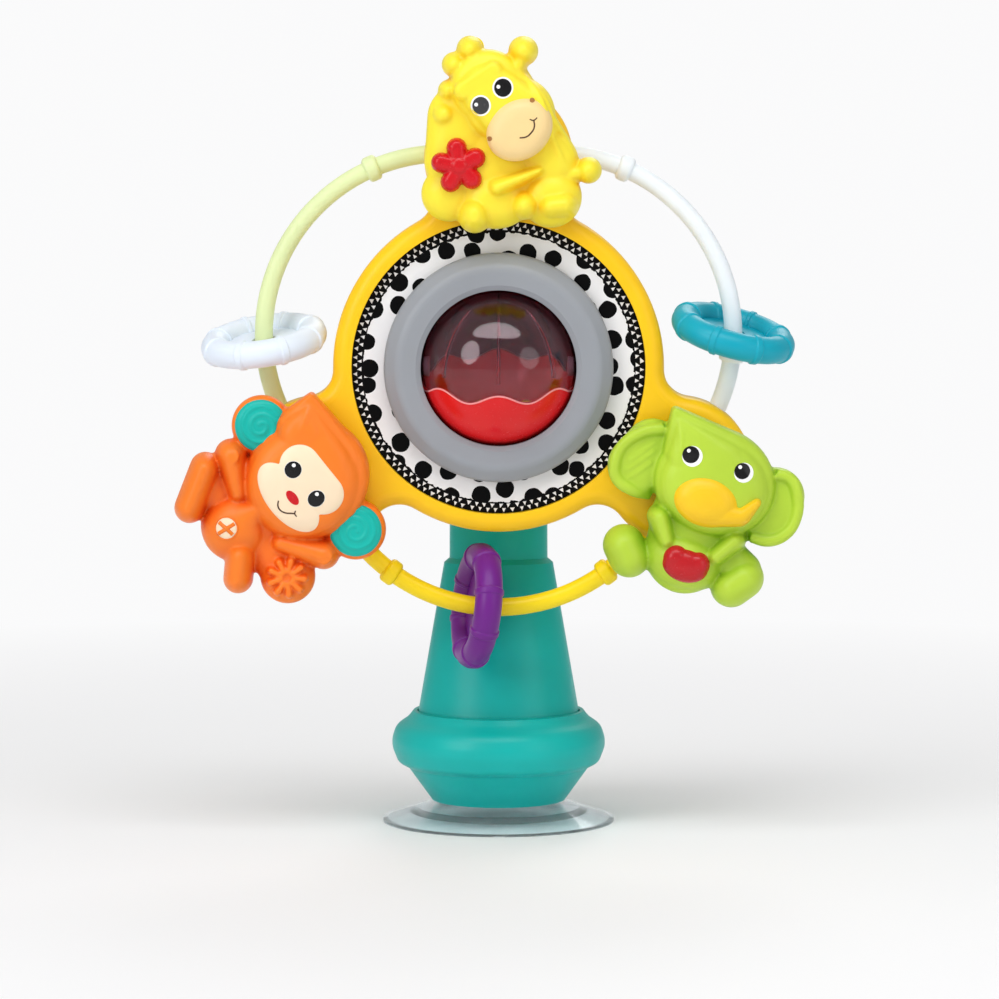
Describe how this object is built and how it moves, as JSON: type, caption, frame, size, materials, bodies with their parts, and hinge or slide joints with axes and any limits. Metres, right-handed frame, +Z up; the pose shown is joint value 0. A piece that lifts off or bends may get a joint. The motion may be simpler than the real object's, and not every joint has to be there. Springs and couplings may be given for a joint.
{
  "type": "spinning ferris wheel toy",
  "caption": "Baby's table toy: a ferris wheel on a suction-cup pillar, with a rolling ball window, turning animal figures and rings that slide on arc rods.",
  "frame": {"origin": "centre of the suction cup's rim, in the plane of the table it stands on", "axes": "+Z up, the wheel faces -Y, +X to the right as seen from the front"},
  "size_m": [0.1971, 0.1028, 0.2539],
  "materials": {
    "suction_clear": "clear, soft, glossy",
    "clip_white": "moulded",
    "stand_teal": "moulded, semi-gloss",
    "wheel_yellow": "moulded, semi-gloss",
    "printed_card": "printed black and white, satin",
    "bezel_grey": "moulded, semi-gloss",
    "bearing_white": "moulded acetal",
    "clear_plastic": "clear, polished",
    "ball_red": "moulded, polished",
    "bead_green": "polished",
    "bead_orange": "polished",
    "bead_yellow": "polished",
    "rod_lime": "moulded, semi-gloss",
    "rod_white": "moulded, semi-gloss",
    "rod_yellow": "moulded, semi-gloss",
    "ring_white": "moulded, semi-gloss",
    "ring_teal": "moulded, semi-gloss",
    "ring_purple": "moulded, semi-gloss",
    "giraffe_yellow": "moulded, semi-gloss",
    "giraffe_peach": "moulded, semi-gloss",
    "flower_red": "moulded, semi-gloss",
    "monkey_orange": "moulded, semi-gloss",
    "monkey_cream": "moulded, semi-gloss",
    "ear_teal": "moulded, semi-gloss",
    "elephant_lime": "moulded, semi-gloss",
    "trunk_yellow": "moulded, semi-gloss",
    "fruit_red": "moulded, semi-gloss",
    "screw_steel": "zinc plated"
  },
  "bodies": {
    "stand": {"suction_cup": "suction_clear", "cup_clip": "clip_white", "base_collar": "stand_teal", "foot_screws": "screw_steel", "pillar_front_shell": "stand_teal", "pillar_rear_shell": "stand_teal", "pillar_screws": "screw_steel", "pillar_bush": "bearing_white"},
    "wheel": {"wheel_front_shell": "wheel_yellow", "wheel_rear_shell": "wheel_yellow", "printed_disc": "printed_card", "bezel_ring": "bezel_grey", "ball_retainer_ring": "bearing_white", "bezel_screws": "screw_steel", "wheel_screws": "screw_steel", "rod_left": "rod_lime", "rod_right": "rod_white", "rod_bottom": "rod_yellow", "figure_posts": "bearing_white", "figure_washers": "bearing_white", "axle_washer": "bearing_white", "axle_screw": "screw_steel"},
    "ball": {"ball_clear_dome": "clear_plastic", "ball_red_cup": "ball_red", "ball_axle_pins": "screw_steel", "ball_beads_green": "bead_green", "ball_beads_orange": "bead_orange", "ball_beads_yellow": "bead_yellow"},
    "giraffe": {"giraffe_front_shell": "giraffe_yellow", "giraffe_rear_shell": "giraffe_yellow", "giraffe_muzzle": "giraffe_peach", "giraffe_flower": "flower_red", "giraffe_screws": "screw_steel"},
    "monkey": {"monkey_front_shell": "monkey_orange", "monkey_rear_shell": "monkey_orange", "monkey_face": "monkey_cream", "monkey_ears": "ear_teal", "monkey_badge": "monkey_cream", "monkey_screws": "screw_steel"},
    "elephant": {"elephant_front_shell": "elephant_lime", "elephant_rear_shell": "elephant_lime", "elephant_trunk": "trunk_yellow", "elephant_fruit": "fruit_red", "elephant_screws": "screw_steel"},
    "white_ring": {"ring_white": "ring_white"},
    "teal_ring": {"ring_teal": "ring_teal"},
    "purple_ring": {"ring_purple": "ring_purple"}
  },
  "joints": [
    {"name": "wheel_spin", "type": "hinge", "parent": "stand", "child": "wheel", "pos_m": [0, -0.036, 0.15], "axis": [0, -1, 0], "continuous": true},
    {"name": "ball_spin", "type": "hinge", "parent": "wheel", "child": "ball", "pos_m": [0, -0.039, 0.15], "axis": [1, 0, 0], "continuous": true},
    {"name": "giraffe_spin", "type": "hinge", "parent": "wheel", "child": "giraffe", "pos_m": [0, -0.0485, 0.2262], "axis": [0, -1, 0], "continuous": true},
    {"name": "monkey_spin", "type": "hinge", "parent": "wheel", "child": "monkey", "pos_m": [-0.06599, -0.0485, 0.1119], "axis": [0, -1, 0], "continuous": true},
    {"name": "elephant_spin", "type": "hinge", "parent": "wheel", "child": "elephant", "pos_m": [0.06599, -0.0485, 0.1119], "axis": [0, -1, 0], "continuous": true},
    {"name": "white_ring_travel", "type": "hinge", "parent": "wheel", "child": "white_ring", "pos_m": [-0.01706, -0.036, 0.15985], "axis": [0, -1, 0], "range_deg": [-64.3, 0]},
    {"name": "teal_ring_travel", "type": "hinge", "parent": "wheel", "child": "teal_ring", "pos_m": [0.01706, -0.036, 0.15985], "axis": [0, -1, 0], "range_deg": [0, 61.8]},
    {"name": "purple_ring_travel", "type": "hinge", "parent": "wheel", "child": "purple_ring", "pos_m": [0, -0.036, 0.1303], "axis": [0, -1, 0], "range_deg": [-25.3, 36.5]}
  ]
}
